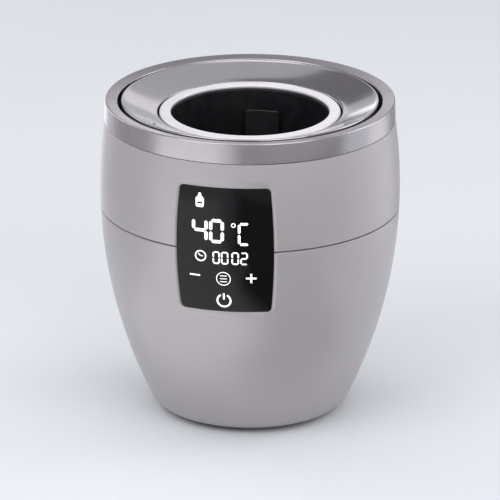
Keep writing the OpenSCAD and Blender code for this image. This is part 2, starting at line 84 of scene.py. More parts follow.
def linear(code):
    """An sRGB hex colour as linear red, green and blue."""
    shares = [int(code[i:i + 2], 16) / 255 for i in (0, 2, 4)]
    return tuple(c / 12.92 if c <= 0.04045 else ((c + 0.055) / 1.055) ** 2.4 for c in shares)


def length(name, description, default_mm):
    """A length property, kept in metres."""
    return FloatProperty(name=name, description=description, default=default_mm * MM, min=0, unit="LENGTH",
                         subtype="DISTANCE", precision=4)


def shade(name, description, code):
    """A colour property from an sRGB hex value."""
    return FloatVectorProperty(name=name, description=description, default=linear(code), size=3, min=0, max=1,
                               subtype="COLOR")


class WarmerSizes(bpy.types.PropertyGroup):
    """Sizes of the warmer's visible pieces."""
    belly_r: length("Belly radius", "Largest outside radius of the body", 76.7)
    belly_z: length("Belly height", "Height of the largest radius", 118)
    side_arc: length("Side arc", "Radius of the arc that the side follows", 256)
    wall: length("Wall", "Thickness of the outer shells", 2.5)
    seam_z: length("Seam height", "Height of the joint between the shells", 108.5)
    seam_gap: length("Seam gap", "Width of the shadow line at the joint", 0.6)
    foot_round: length("Foot rounding", "Rounding under the lower shell", 7)
    trim_low: length("Trim height", "Height of the trim band's lower edge", 154.3)
    dish_r: length("Dish radius", "Outer radius of the dish", 65.5)
    dish_in_r: length("Dish inner radius", "Inner radius of the dish", 47.2)
    dish_drop: length("Dish fall", "Fall of the dish from lip to inner edge", 6)
    well_r: length("Well radius", "Inner radius of the heating well", 40.4)
    well_floor_z: length("Well floor", "Height of the well's floor", 58.4)
    basket_r: length("Basket radius", "Outer radius of the basket", 38)
    window_z: length("Display height", "Height of the display's centre", 109)
    window_half_w: length("Display half width", "Half width of the display at its middle", 24.5)
    window_half_h: length("Display half height", "Half height of the display", 33)
    window_sag: length("Display barrel", "How far the display's sides pull in at its ends", 1.9)
    window_corner: length("Display corner", "Corner radius of the display", 2.7)
    cord_z: length("Cord height", "Height of the cord entry", 26)


class WarmerColours(bpy.types.PropertyGroup):
    """Colours of the warmer's main finishes."""
    body: shade("Body", "Warm grey lacquer of the shells", "a7a2a4")
    trim: shade("Trim", "Satin metal of the trim band", "b5b0b5")
    dish: shade("Dish", "Silver of the splash dish", "b9b5b9")
    ring: shade("Ring", "Pale silver of the well's ring", "e6e2e6")
    window: shade("Window", "Black of the display's window", "08080a")
    symbols: shade("Symbols", "Light of the display's symbols", "ffffff")
    well: shade("Well", "Non-stick coating in the well", "17181a")
    basket: shade("Basket", "Black of the basket", "1b1c1e")


class WarmerSettings(bpy.types.PropertyGroup):
    """Everything a user may change before building."""
    sizes: PointerProperty(type=WarmerSizes, name="Sizes", description="Sizes of the pieces")
    colours: PointerProperty(type=WarmerColours, name="Colours", description="Colours of the finishes")


def sizes_mm():
    """The size settings, in millimetres."""
    group = bpy.context.scene.bottle_warmer.sizes
    return SimpleNamespace(**{name: getattr(group, name) / MM for name in WarmerSizes.__annotations__})


# ---- materials ----

PLASTIC_IOR = 1.49
COLOUR_A, COLOUR_B, COLOUR_OUT = 6, 7, 2        # the colour sockets of a Mix node, which share their names


def add_node(tree, kind, settings=None, inputs=None):
    """Adds a node, gives it its settings, and sets or links its inputs."""
    node = tree.nodes.new(kind)
    for name, value in (settings or {}).items():
        setattr(node, name, value)
    for name, value in (inputs or {}).items():
        if isinstance(value, bpy.types.NodeSocket):
            tree.links.new(value, node.inputs[name])
        else:
            node.inputs[name].default_value = value
    return node


def new_material(name):
    """A new material, with its nodes and its shader."""
    material = bpy.data.materials.new(name)
    material.use_nodes = True
    return material, material.node_tree, material.node_tree.nodes["Principled BSDF"]


# A finish has the slot's real material, its colour, roughness and metallic share. Grain is the size of the
# fine relief, relief its depth and mottle the size of the broad variation, all in millimetres. Tone is how
# far the variation changes the colour, and gloss how far it changes the roughness.
Finish = namedtuple(
    "Finish", "name colour roughness metallic grain relief mottle tone gloss coat coat_roughness specular "
    "brushed specks light", defaults=(0, 0.03, 0.5, False, False, 0))

FINISHES = {
    # Lacquered ABS: an even satin coat with a trace of metal flake, over faint moulding unevenness.
    "body_abs": Finish("satin_lacquered_abs", "body", 0.36, 0.12, 0.7, 0.006, 24, 0.025, 0.03, coat=0.25,
                       coat_roughness=0.3),
    # Electroplated trim, brushed round: bright, with soft streaks across the brushing.
    "trim_metal": Finish("brushed_plated_trim", "trim", 0.26, 1, 0.3, 0.001, 14, 0.04, 0.05, brushed=True),
    # Silver lacquer under clear coat: hard-edged reflections over a fine metallic flake.
    "dish_silver": Finish("silver_lacquered_abs", "dish", 0.15, 0.85, 0.5, 0.002, 12, 0.03, 0.03, coat=0.6,
                          coat_roughness=0.06),
    # Pearl-grey satin ABS.
    "ring_plastic": Finish("pearl_satin_abs", "ring", 0.3, 0.15, 0.5, 0.004, 10, 0.02, 0.04, coat=0.2,
                           coat_roughness=0.2),
    # Glass-filled polypropylene with a spark-eroded texture.
    "base_plastic": Finish("textured_black_pp", "26272a", 0.55, 0, 0.6, 0.03, 9, 0.12, 0.06),
    # Moulded rubber: deep black and dull.
    "rubber": Finish("moulded_rubber", "151516", 0.78, 0, 0.4, 0.02, 5, 0.15, 0.06),
    # Zinc-plated steel, slightly blue and clouded.
    "screw_steel": Finish("zinc_plated_steel", "b4b8bc", 0.32, 1, 0.4, 0.006, 2.5, 0.08, 0.1),
    # Cast acrylic with a black print behind it: polished, with the faintest ripple.
    "window_glass": Finish("polished_black_acrylic", "window", 0.05, 0, 9, 0.002, 16, 0.15, 0.02,
                           specular=0.26),
    # Matt black moulding that keeps stray light in.
    "mask_plastic": Finish("matt_black_abs", "121213", 0.6, 0, 0.5, 0.02, 6, 0.1, 0.05),
    # Light-emitting segments behind a milky diffuser.
    "led_white": Finish("lit_milky_diffuser", "symbols", 0.5, 0, 0.6, 0.004, 3, 0.04, 0.05, light=0.6),
    # Glass-epoxy board under solder mask, with a weave that just shows.
    "circuit_board": Finish("solder_masked_glass_epoxy", "1f5a38", 0.35, 0, 0.5, 0.012, 4, 0.18, 0.08,
                            coat=0.3, coat_roughness=0.15),
    # Spring steel wire.
    "spring_wire": Finish("spring_steel", "a9acaf", 0.25, 1, 0.3, 0.004, 2, 0.06, 0.08),
    # Sprayed non-stick coating on drawn aluminium: near black, with a pebbled skin and faint specks.
    "well_coating": Finish("sprayed_nonstick_coating", "well", 0.38, 0, 0.8, 0.02, 7, 0.2, 0.08,
                           specks=True),
    # Moulded silicone: milky and soft.
    "silicone": Finish("translucent_silicone", "c9c5bf", 0.5, 0, 0.4, 0.01, 4, 0.05, 0.05),
    # Black polypropylene with a fine spark-eroded texture that softens its shine.
    "basket_plastic": Finish("fine_textured_pp", "basket", 0.46, 0, 0.6, 0.016, 8, 0.12, 0.05),
    # Rolled aluminium sheet with fine rolling marks.
    "aluminium": Finish("rolled_aluminium", "c6c8ca", 0.34, 1, 0.6, 0.008, 10, 0.05, 0.08),
    # Fired ceramic with its electrodes' silver print.
    "ptc_ceramic": Finish("silver_printed_ceramic", "d3cfc4", 0.55, 0, 0.3, 0.012, 3, 0.08, 0.06),
    # Glazed fuse body.
    "fuse_case": Finish("glazed_ceramic", "cdb884", 0.25, 0, 0.4, 0.004, 2, 0.06, 0.05),
    # Pressed phenolic resin: brown-black with pale filler.
    "phenolic": Finish("pressed_phenolic", "2a211c", 0.45, 0, 0.5, 0.012, 3, 0.2, 0.08),
    # Glossy relay housing.
    "relay_case": Finish("moulded_pbt", "21406e", 0.3, 0, 0.5, 0.008, 6, 0.06, 0.05),
    # Ferrite core: dark grey, slightly crystalline.
    "ferrite": Finish("sintered_ferrite", "3a3835", 0.5, 0, 0.3, 0.014, 2, 0.18, 0.1),
    # Shrunk sleeve of the electrolytic capacitor.
    "capacitor_sleeve": Finish("shrunk_pvc_sleeve", "23264a", 0.28, 0, 0.9, 0.006, 5, 0.06, 0.05),
    # Epoxy-filled box of the film capacitor.
    "film_box": Finish("epoxy_filled_box", "b5902a", 0.38, 0, 0.5, 0.006, 4, 0.06, 0.06),
    # Nylon terminal block.
    "terminal_plastic": Finish("moulded_nylon", "3d7a4e", 0.42, 0, 0.5, 0.01, 4, 0.08, 0.05),
    # Silicone sleeve of the heater wires.
    "wire_sleeve": Finish("silicone_wire_sleeve", "d8d4cc", 0.55, 0, 0.5, 0.02, 3, 0.08, 0.05),
    # Polyester ribbon cable.
    "ribbon_film": Finish("polyester_ribbon", "d9d6cb", 0.3, 0, 0.6, 0.004, 6, 0.04, 0.05),
}


def material_for(slot):
    """The material of a slot of the record, made once."""
    row = FINISHES[slot]
    found = bpy.data.materials.get(row.name)
    if found:
        return found
    colours = bpy.context.scene.bottle_warmer.colours
    base = tuple(getattr(colours, row.colour)) if hasattr(colours, row.colour) else linear(row.colour)
    material, tree, shader = new_material(row.name)
    material.diffuse_color = (*base, 1)
    shader.inputs["Metallic"].default_value = row.metallic
    shader.inputs["Specular IOR Level"].default_value = row.specular
    shader.inputs["Coat Weight"].default_value = row.coat
    shader.inputs["Coat Roughness"].default_value = row.coat_roughness
    if row.metallic < 1:
        shader.inputs["IOR"].default_value = PLASTIC_IOR

    place = add_node(tree, "ShaderNodeTexCoord").outputs["Object"]
    broad = add_node(tree, "ShaderNodeTexNoise", inputs={
        "Vector": place, "Scale": 1 / (row.mottle * MM), "Detail": 4.0, "Roughness": 0.55}).outputs["Fac"]
    tint = add_node(tree, "ShaderNodeMix", {"data_type": "RGBA"}, {"Factor": broad})
    tint.inputs[COLOUR_A].default_value = (*[c * (1 - row.tone) for c in base], 1)
    tint.inputs[COLOUR_B].default_value = (*[min(1, c * (1 + row.tone)) for c in base], 1)
    colour = tint.outputs[COLOUR_OUT]

    fine_place = place
    if row.brushed:
        # Brushing runs round the ring, so its relief depends on the distance from the axis and the height.
        flat = add_node(tree, "ShaderNodeVectorMath", {"operation": "MULTIPLY"}, {0: place, 1: (1, 1, 0)})
        radius = add_node(tree, "ShaderNodeVectorMath", {"operation": "LENGTH"}, {0: flat.outputs["Vector"]})
        height = add_node(tree, "ShaderNodeSeparateXYZ", inputs={"Vector": place})
        fine_place = add_node(tree, "ShaderNodeCombineXYZ", inputs={
            "X": radius.outputs["Value"], "Y": height.outputs["Z"]}).outputs["Vector"]
    fine = add_node(tree, "ShaderNodeTexNoise", inputs={
        "Vector": fine_place, "Scale": 1 / (row.grain * MM), "Detail": 3.0, "Roughness": 0.6}).outputs["Fac"]

    if row.specks:
        # Faint mineral specks about 0.5 mm wide, a few millimetres apart.
        cells = add_node(tree, "ShaderNodeTexVoronoi", inputs={"Vector": place, "Scale": 1 / (2.6 * MM)})
        near = add_node(tree, "ShaderNodeMapRange", inputs={
            "Value": cells.outputs["Distance"], "From Min": 0.06, "From Max": 0.14,
            "To Min": 0.5, "To Max": 0.0})
        specked = add_node(tree, "ShaderNodeMix", {"data_type": "RGBA"}, {"Factor": near.outputs["Result"]})
        tree.links.new(colour, specked.inputs[COLOUR_A])
        specked.inputs[COLOUR_B].default_value = (*linear("47484a"), 1)
        colour = specked.outputs[COLOUR_OUT]

    tree.links.new(colour, shader.inputs["Base Color"])
    rough = add_node(tree, "ShaderNodeMapRange", inputs={
        "Value": broad, "From Min": 0.3, "From Max": 0.7,
        "To Min": max(0.02, row.roughness - row.gloss), "To Max": row.roughness + row.gloss})
    tree.links.new(rough.outputs["Result"], shader.inputs["Roughness"])
    bump = add_node(tree, "ShaderNodeBump", inputs={
        "Height": fine, "Distance": row.relief * MM, "Strength": 1.0})
    tree.links.new(bump.outputs["Normal"], shader.inputs["Normal"])
    if row.light:
        shader.inputs["Emission Color"].default_value = (*base, 1)
        shader.inputs["Emission Strength"].default_value = row.light
    return material


# ---- shared shapes ----

def rounded(corners, steps=4):
    """A section from (radius, height, rounding) corners, each rounding drawn as an arc."""
    points = []
    for i, (x, z, rounding) in enumerate(corners):
        here = Vector((x, z))
        if not rounding:
            points.append((x, z))
            continue
        back = (Vector(corners[i - 1][:2]) - here).normalized()
        ahead = (Vector(corners[(i + 1) % len(corners)][:2]) - here).normalized()
        half = back.angle(ahead) / 2
        centre = here + (back + ahead).normalized() * rounding / sin(half)
        start = (here + back * rounding / tan(half) - centre).normalized()
        end = (here + ahead * rounding / tan(half) - centre).normalized()
        points += [tuple(centre + start.slerp(end, k / steps) * rounding) for k in range(steps + 1)]
    return points


def turn(bm, points, steps=ROUND, angle=360, first=0, closed=True):
    """Turns a section of (radius, height) points round Z. Returns the new points."""
    before = set(bm.verts)
    spin_start = Matrix.Rotation(radians(first), 3, "Z")
    verts = [bm.verts.new(spin_start @ Vector((r, 0, z))) for r, z in points]
    edges = [bm.edges.new(pair) for pair in zip(verts, verts[1:])]
    if closed:
        edges.append(bm.edges.new((verts[-1], verts[0])))
    bmesh.ops.spin(bm, geom=verts + edges, cent=(0, 0, 0), axis=(0, 0, 1), angle=radians(angle), steps=steps,
                   use_merge=angle == 360)
    if closed and angle != 360:
        bmesh.ops.holes_fill(bm, edges=[e for e in bm.edges if e.is_boundary and e.verts[0] not in before])
    return [v for v in bm.verts if v not in before]


def turn_four(bm, points, steps, place, first):
    """Turns a section four times, evenly round a circle of radius place, from a first angle on."""
    for i in range(4):
        angle = first + i * pi / 2
        made = turn(bm, points, steps)
        bmesh.ops.translate(bm, verts=made, vec=(place * cos(angle), place * sin(angle), 0))


def bosses(bm, place, first, r_out, r_in, low, high):
    """Four hollow screw bosses round a circle."""
    section = rounded([(r_in, low, 0), (r_out, low, 0.2), (r_out, high, 0.2), (r_in, high, 0)], 2)
    turn_four(bm, section, 32, place, first)


def lay_along_y(bm, verts, x, z):
    """Turns points from the Z axis to the Y axis, so that their height becomes their place along Y."""
    bmesh.ops.rotate(bm, verts=verts, cent=(0, 0, 0), matrix=Matrix.Rotation(-pi / 2, 3, "X"))
    bmesh.ops.translate(bm, verts=verts, vec=(x, 0, z))


def stretched(angle, cell, edge, blend):
    """An angle after the column at cell has moved to edge, while the column at blend stays."""
    if abs(angle) <= cell + MERGE:
        moved = abs(angle) * edge / cell
    else:
        moved = edge + (abs(angle) - cell) * (blend - edge) / (blend - cell)
    return radians(moved if angle > 0 else -moved)


def add_mesh(name, bm):
    """Makes the finished mesh an object of the scene."""
    mesh = bpy.data.meshes.new(name)
    bm.to_mesh(mesh)
    bm.free()
    made = bpy.data.objects.new(name, mesh)
    bpy.context.scene.collection.objects.link(made)
    return made


def finish_piece(name, bm, body, slot, nodes=()):
    """Closes a mesh, shades it, gives it its finish and hangs it on its body of the frame."""
    bmesh.ops.remove_doubles(bm, verts=bm.verts, dist=MERGE)
    bmesh.ops.dissolve_degenerate(bm, edges=bm.edges, dist=MERGE)
    bmesh.ops.recalc_face_normals(bm, faces=bm.faces)
    bmesh.ops.scale(bm, verts=bm.verts, vec=(MM, MM, MM))
    piece = add_mesh(name, bm)
    piece.data.shade_smooth()
    piece.data.materials.append(material_for(slot))
    normals = piece.modifiers.new("even_shading", "WEIGHTED_NORMAL")
    normals.keep_sharp = True
    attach(piece, body)
    if nodes:
        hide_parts(*nodes)


# ---- body shells ----

def side_r(s, z, depth=0.0):
    """Radius of the body at a height, a given depth under its outer face."""
    return s.belly_r - s.side_arc + sqrt((s.side_arc - depth) ** 2 - (z - s.belly_z) ** 2)


def display_half_width(s, v, fit=0.0):
    """Half width of the display's outline at a height from its centre: barrel sides and round corners."""
    half_w, half_h = s.window_half_w + fit, s.window_half_h + fit
    barrel = (half_h ** 2 + s.window_sag ** 2) / (2 * s.window_sag)
    corner_y = half_h - s.window_corner
    corner_x = half_w - barrel + sqrt((barrel - s.window_corner) ** 2 - corner_y ** 2)
    v = min(abs(v), half_h)
    if v <= barrel * corner_y / (barrel - s.window_corner):
        return half_w - barrel + sqrt(barrel ** 2 - v ** 2)
    return corner_x + sqrt(max(0, s.window_corner ** 2 - (v - corner_y) ** 2))


def display_rows(s, fit=0.0):
    """Heights from the display's centre for rows of points, close together round the corners."""
    half_h = s.window_half_h + fit
    corner_y = half_h - s.window_corner
    corner = [corner_y + s.window_corner * sin(radians(a)) for a in (12, 26, 40, 53, 65, 76, 90)]
    middle = [corner_y * i / 10 for i in range(-10, 11)]
    return [-v for v in reversed(corner)] + middle + corner


WINDOW_FIT = 0.2        # gap between the window and the shells
HOLE_COLUMN = 18.0      # degrees from the front at which a column of points becomes the hole's edge
BLEND_COLUMN = 60.0     # degrees from the front at which the columns stand evenly again
SHELL_STEP = 4.0        # height of the rows on the side
ROW_GAP = 0.8           # least distance of a row from a shell's edge at the seam
SOFT = 0.3              # softened edges of the shells


def front_angle(point):
    """Degrees round from the front of the body, positive towards +X."""
    return degrees(atan2(point.x, -point.y))


def cut_display(bm, s):
    """Opens the display's hole in both faces of a shell, along its outline, and closes its edge."""
    half_h = s.window_half_h + WINDOW_FIT
    hole = [f for f in bm.faces if abs(front_angle(f.calc_center_median())) < HOLE_COLUMN
            and abs(f.calc_center_median().z - s.window_z) < half_h]
    bmesh.ops.delete(bm, geom=hole, context="FACES")
    for v in bm.verts:
        angle, radius = front_angle(v.co), hypot(v.co.x, v.co.y)
        if abs(angle) >= BLEND_COLUMN:
            continue
        edge = degrees(asin(display_half_width(s, v.co.z - s.window_z, WINDOW_FIT) / radius))
        moved = stretched(angle, HOLE_COLUMN, edge, BLEND_COLUMN)
        v.co.x, v.co.y = radius * sin(moved), -radius * cos(moved)
    rim = [e for e in bm.edges if e.is_boundary]
    outer = [e for e in rim if all(hypot(v.co.x, v.co.y) > side_r(s, v.co.z, s.wall / 2) for v in e.verts)]
    inner = [e for e in rim if all(hypot(v.co.x, v.co.y) < side_r(s, v.co.z, s.wall / 2) for v in e.verts)]
    bmesh.ops.bridge_loops(bm, edges=outer + inner)


POCKET_R = 9.5          # round pocket for the cord at the back
POCKET_WALL = 2.5       # thickness of its side
POCKET_FLOOR = 52.0     # its floor's place along Y
POCKET_CELLS = 6        # half its width in columns and in rows
POCKET_REACH = 10       # columns and rows over which the even grid bends round it
POCKET_ROW = 1.56       # height of a row there, as wide as a column
GLAND_HOLE = 5.5        # radius of the hole in its floor
COLUMN = 360 / ROUND    # degrees between two columns


def cut_cord_pocket(bm, s):
    """Bends the grid at the back round a circle, opens it, and lets a pocket into the lower shell."""
    def cell(point):
        return degrees(atan2(point.x, point.y)) / COLUMN, (point.z - s.cord_z) / POCKET_ROW

    def outside(point):
        return hypot(point.x, point.y) > side_r(s, point.z, s.wall / 2)

    near = []
    for v in bm.verts:
        i, j = cell(v.co)
        if max(abs(i), abs(j)) < POCKET_REACH - 0.01:
            near.append((v, i / POCKET_CELLS, j / POCKET_CELLS, 0 if outside(v.co) else s.wall))
    hole = [f for f in bm.faces if max(map(abs, cell(f.calc_center_median()))) < POCKET_CELLS]
    bmesh.ops.delete(bm, geom=hole, context="FACES")
    for v, p, q, depth in near:
        if not v.is_valid:
            continue
        ring = max(abs(p), abs(q))
        share = max(0.0, min(1.0, (ring - 1) / (POCKET_REACH / POCKET_CELLS - 1)))
        share = share * share * (3 - 2 * share)
        radius = (POCKET_R + (POCKET_WALL if depth else 0)) * ring / max(hypot(p, q), MERGE)
        x = (1 - share) * p * radius + share * v.co.x
        z = (1 - share) * (s.cord_z + q * radius) + share * v.co.z
        v.co = (x, sqrt(side_r(s, z, depth) ** 2 - x * x), z)
    rim = [e for e in bm.edges if e.is_boundary and e.verts[0].co.y > POCKET_FLOOR / 2]
    for is_outer, floor_y in ((True, POCKET_FLOOR), (False, POCKET_FLOOR - s.wall)):
        loop = [e for e in rim if outside(e.verts[0].co) == is_outer]
        for place in ("wall", "floor"):
            made = bmesh.ops.extrude_edge_only(bm, edges=loop)["geom"]
            loop = [g for g in made if isinstance(g, bmesh.types.BMEdge) and g.is_boundary]
            for v in {v for e in loop for v in e.verts}:
                v.co.y = floor_y
                if place == "floor":
                    out = Vector((v.co.x, v.co.z - s.cord_z)).normalized() * GLAND_HOLE
                    v.co.x, v.co.z = out.x, s.cord_z + out.y

    def at_gland(edge):
        point = edge.verts[0].co
        return point.y > POCKET_FLOOR / 2 and hypot(point.x, point.z - s.cord_z) < GLAND_HOLE + 1

    bmesh.ops.bridge_loops(bm, edges=[e for e in bm.edges if e.is_boundary and at_gland(e)])


def spread(low, high, step):
    """Heights from low to high, both included, about a step apart."""
    count = max(1, round((high - low) / step))
    return [low + (high - low) * i / count for i in range(count + 1)]


def window_rows(s):
    """Heights of the rows beside the display's hole."""
    return [s.window_z + v for v in display_rows(s, WINDOW_FIT)]


def lower_rows(s, top):
    """Heights of the rows on the lower shell's side, from its rounded foot to its top edge."""
    pocket_low, pocket_high = (s.cord_z + side * POCKET_REACH * POCKET_ROW for side in (-1, 1))
    window_low = s.window_z - s.window_half_h - WINDOW_FIT
    rows = spread(pocket_low, pocket_high, POCKET_ROW) + spread(pocket_high, window_low, SHELL_STEP)[1:]
    return rows + [z for z in window_rows(s) if window_low < z < top - ROW_GAP]


def build_lower_shell(s):
    """The lower shell: rounded foot, curved side, display notch, cord pocket, tongue and screw bosses."""
    top = s.seam_z - s.seam_gap / 2
    base, lip_r, recess_r, plate_top, lip_t = 2.5, 39.5, 43.3, 5.0, 2.5
    centre_r = side_r(s, base + s.foot_round, s.foot_round)
    centre_z = base + s.foot_round
    lean = atan2(s.belly_z - centre_z, centre_r - s.belly_r + s.side_arc)
    foot = [-pi / 2 + (pi / 2 - lean) * i / 10 for i in range(11)]
    rows = lower_rows(s, top)
    outer = [(lip_r, plate_top), (recess_r, plate_top), (recess_r, base + SOFT), (recess_r + SOFT, base)]
    outer += [(centre_r + s.foot_round * cos(a), centre_z + s.foot_round * sin(a)) for a in foot]
    outer += [(side_r(s, z), z) for z in rows]
    outer += [(side_r(s, top - SOFT), top - SOFT), (side_r(s, top) - SOFT, top)]
    inner = [(side_r(s, z, s.wall), z) for z in reversed(rows + [top - SOFT, top])]
    floor = plate_top + lip_t
    inner += [(side_r(s, floor, s.wall), floor), (lip_r, floor)]
    bm = bmesh.new()
    turn(bm, outer + inner)
    cut_display(bm, s)
    cut_cord_pocket(bm, s)
    # A tongue inside the seam, left out behind the display
    tongue_in, tongue_out, low, high, gap_half = 72.2, 74.2, 101, 112, 22
    tongue = [(tongue_in, low + 2), (tongue_out, low), (tongue_out, top), (tongue_out - 0.4, top),
              (tongue_out - 0.4, high - 0.4), (tongue_out - 0.8, high), (tongue_in + 0.4, high),
              (tongue_in, high - 0.4)]
    turn(bm, tongue, ROUND, 360 - 2 * gap_half, gap_half - 90)
    bosses(bm, place=37.5, first=0, r_out=3.5, r_in=1.45, low=plate_top + 2, high=15)
    finish_piece("lower_shell_visible", bm, HOUSING, "body_abs", ["lower_shell"])


def build_upper_shell(s):
    """The upper shell: curved side, a neck inside the trim, and a ledge for the well's carrier."""
    low, shoulder = s.seam_z + s.seam_gap / 2, s.trim_low - 0.3
    neck_r, neck_in_r, neck_top = 71.4, 69.4, 162.6
    ledge_r, ledge_low, ledge_top = 63.5, 148.0, 150.6
    window_high = s.window_z + s.window_half_h + WINDOW_FIT
    rows = [z for z in window_rows(s) if low + ROW_GAP < z < window_high - MERGE] + [window_high]
    outer = [(side_r(s, low) - SOFT, low), (side_r(s, low + SOFT), low + SOFT)]
    outer += [(side_r(s, z), z) for z in rows]
    outer += [(side_r(s, z), z) for z in spread(window_high, shoulder - 0.4, SHELL_STEP)[1:]]
    outer += [(side_r(s, shoulder) - 0.15, shoulder - 0.1), (side_r(s, shoulder) - 0.4, shoulder)]
    outer += [(neck_r, shoulder), (neck_r, neck_top), (neck_in_r, neck_top), (neck_in_r, ledge_top)]
    outer += [(ledge_r, ledge_top), (ledge_r, ledge_low), (side_r(s, ledge_low, s.wall), ledge_low)]
    inner = [(side_r(s, z, s.wall), z) for z in reversed([low, low + SOFT] + rows)]
    bm = bmesh.new()
    turn(bm, outer + inner)
    cut_display(bm, s)
    bosses(bm, place=66.4, first=pi / 4, r_out=3.2, r_in=1.45, low=138, high=ledge_low + 0.2)
    finish_piece("upper_shell_visible", bm, HOUSING, "body_abs", ["upper_shell"])


# ---- top ----

def build_trim(s):
    """The metal band, with a top face that falls towards the dish, a rounded crown and an inner wall."""
    top, outer_r, crown_r, inner_r, fall = 165, 74.2, 73.8, 67.4, 1.02
    neck_r, neck_in_r, neck_top, inner_low = 71.7, 69.2, 162.6, 156
    corners = [(neck_r, s.trim_low, 0), (outer_r, s.trim_low, 0.25), (crown_r, top, 0.7),
               (inner_r, top - fall, 0.6), (inner_r, inner_low, 0.2), (neck_in_r, inner_low, 0),
               (neck_in_r, neck_top, 0), (neck_r, neck_top, 0)]
    bm = bmesh.new()
    turn(bm, rounded(corners, 6))
    finish_piece("trim_band", bm, HOUSING, "trim_metal", ["trim_ring"])


def build_dish(s):
    """The lift-off dish: a rolled lip, a hollow slope down to the well, and a skirt that it stands on."""
    top, lip_r, bend = 164.4, s.dish_r, 1.25
    slope_out = lip_r - 1.4
    thickness, lip_low, skirt_r, skirt_in, skirt_low = 1.8, 160.0, 62.1, 60.5, 153.4

    def slope(r, under=0.0):
        share = max(0, (r - s.dish_in_r) / (slope_out - s.dish_in_r))
        return (r, top - 0.4 - s.dish_drop * (1 - share ** bend) - under)

    start, end = s.dish_in_r + 0.45, slope_out - 0.3
    radii = [start + (end - start) * i / 22 for i in range(23)]
    edge = slope(s.dish_in_r)[1]
    upper = [(s.dish_in_r, edge - 0.45), (s.dish_in_r + 0.13, edge - 0.13)] + [slope(r) for r in radii]
    lip = [(slope_out + 0.15, top - 0.22), (slope_out + 0.45, top - 0.05), (lip_r - 0.65, top),
           (lip_r - 0.3, top - 0.08), (lip_r - 0.08, top - 0.3), (lip_r, top - 0.65), (lip_r, lip_low + 0.2),
           (lip_r - 0.2, lip_low), (lip_r - thickness + 0.2, lip_low), (lip_r - thickness, lip_low + 0.2),
           slope(lip_r - thickness - 0.1, thickness)]
    under = [slope(r, thickness) for r in reversed(radii) if r > skirt_r + 0.5]
    under += [slope(skirt_r, thickness), (skirt_r, skirt_low + SOFT), (skirt_r - SOFT, skirt_low),
              (skirt_in + SOFT, skirt_low), (skirt_in, skirt_low + SOFT), slope(skirt_in, thickness)]
    under += [slope(r, thickness) for r in reversed(radii) if r < skirt_in - 0.5]
    under += [(s.dish_in_r, edge - 1.6)]
    bm = bmesh.new()
    turn(bm, upper + lip + under, 288)
    finish_piece("lift_off_dish", bm, DISH, "dish_silver", ["splash_dish"])


def build_well_ring(s):
    """The pale ring that clamps the well's flange."""
    top, flange_top, low, skirt_in, outer_r = 158.4, 156.2, 153.3, 44.9, 46.2
    corners = [(s.well_r, flange_top, 0), (skirt_in, flange_top, 0), (skirt_in, low, 0), (outer_r, low, 0),
               (outer_r, top, 1.1), (s.well_r, top, 0.9)]
    bm = bmesh.new()
    turn(bm, rounded(corners, 6))
    finish_piece("well_clamp_ring", bm, HOUSING, "ring_plastic", ["well_ring"])


# ---- display ----

def ring_points(edges):
    """The points of a closed ring of edges, in order."""
    links = {}
    for e in edges:
        for v in e.verts:
            links.setdefault(v, []).append(e)
    edge, vert = edges[0], edges[0].verts[0]
    ordered = [vert]
    while True:
        vert = edge.other_vert(vert)
        if vert is ordered[0]:
            return ordered
        ordered.append(vert)
        edge = next(e for e in links[vert] if e is not edge)


def step_out(bm, s, edges, out, depth):
    """Extrudes the window's edge: outwards in its plane, and to a depth under the body's face."""
    made = bmesh.ops.extrude_edge_only(bm, edges=edges)["geom"]
    edges = [g for g in made if isinstance(g, bmesh.types.BMEdge) and g.is_boundary]
    points = ring_points(edges)
    flat = [Vector((v.co.x, v.co.z - s.window_z)) for v in points]
    for i, v in enumerate(points):
        along = (flat[(i + 1) % len(flat)] - flat[i - 1]).normalized()
        normal = Vector((along.y, -along.x))
        if normal.dot(flat[i]) < 0:
            normal.negate()
        here = flat[i] + normal * out
        z = here.y + s.window_z
        v.co = (here.x, -sqrt(side_r(s, z, depth) ** 2 - here.x ** 2), z)
    return edges


EDGE_ROUND = 0.4        # rounding of the window's front edge
WINDOW_T = 2.2
WINDOW_CELLS = 26       # columns across the window


def build_window(s):
    """The window: a curved plate that follows the body, with barrel sides and a rounded polished edge."""
    bm = bmesh.new()
    heights = [s.window_z + v for v in display_rows(s, -EDGE_ROUND)]
    section = [(side_r(s, z), z) for z in heights]
    turn(bm, section, WINDOW_CELLS, 2 * HOLE_COLUMN, -90 - HOLE_COLUMN, closed=False)
    inset = SimpleNamespace(**vars(s))
    inset.window_corner = s.window_corner - EDGE_ROUND
    rows = dict(zip(display_rows(s, -EDGE_ROUND), display_rows(inset, -EDGE_ROUND)))
    for v in bm.verts:
        height = min(rows.items(), key=lambda pair: abs(pair[0] + s.window_z - v.co.z))[1]
        x = display_half_width(inset, height, -EDGE_ROUND) * front_angle(v.co) / HOLE_COLUMN
        z = height + s.window_z
        v.co = (x, -sqrt(side_r(s, z) ** 2 - x * x), z)
    edges = [e for e in bm.edges if e.is_boundary]
    back = bmesh.ops.duplicate(bm, geom=list(bm.faces))["geom"]
    for v in (g for g in back if isinstance(g, bmesh.types.BMVert)):
        v.co.y = -sqrt(side_r(s, v.co.z, WINDOW_T) ** 2 - v.co.x ** 2)
    back_edges = [g for g in back if isinstance(g, bmesh.types.BMEdge) and g.is_boundary]
    step, moved = 0.0, 0.0
    for angle in (22.5, 45, 67.5, 90):
        step = EDGE_ROUND * sin(radians(angle))
        edges = step_out(bm, s, edges, step - moved, EDGE_ROUND * (1 - cos(radians(angle))))
        moved = step
    edges = step_out(bm, s, edges, 0, WINDOW_T)
    bmesh.ops.bridge_loops(bm, edges=edges + back_edges)
    finish_piece("display_window_visible", bm, HOUSING, "window_glass", ["display_window"])


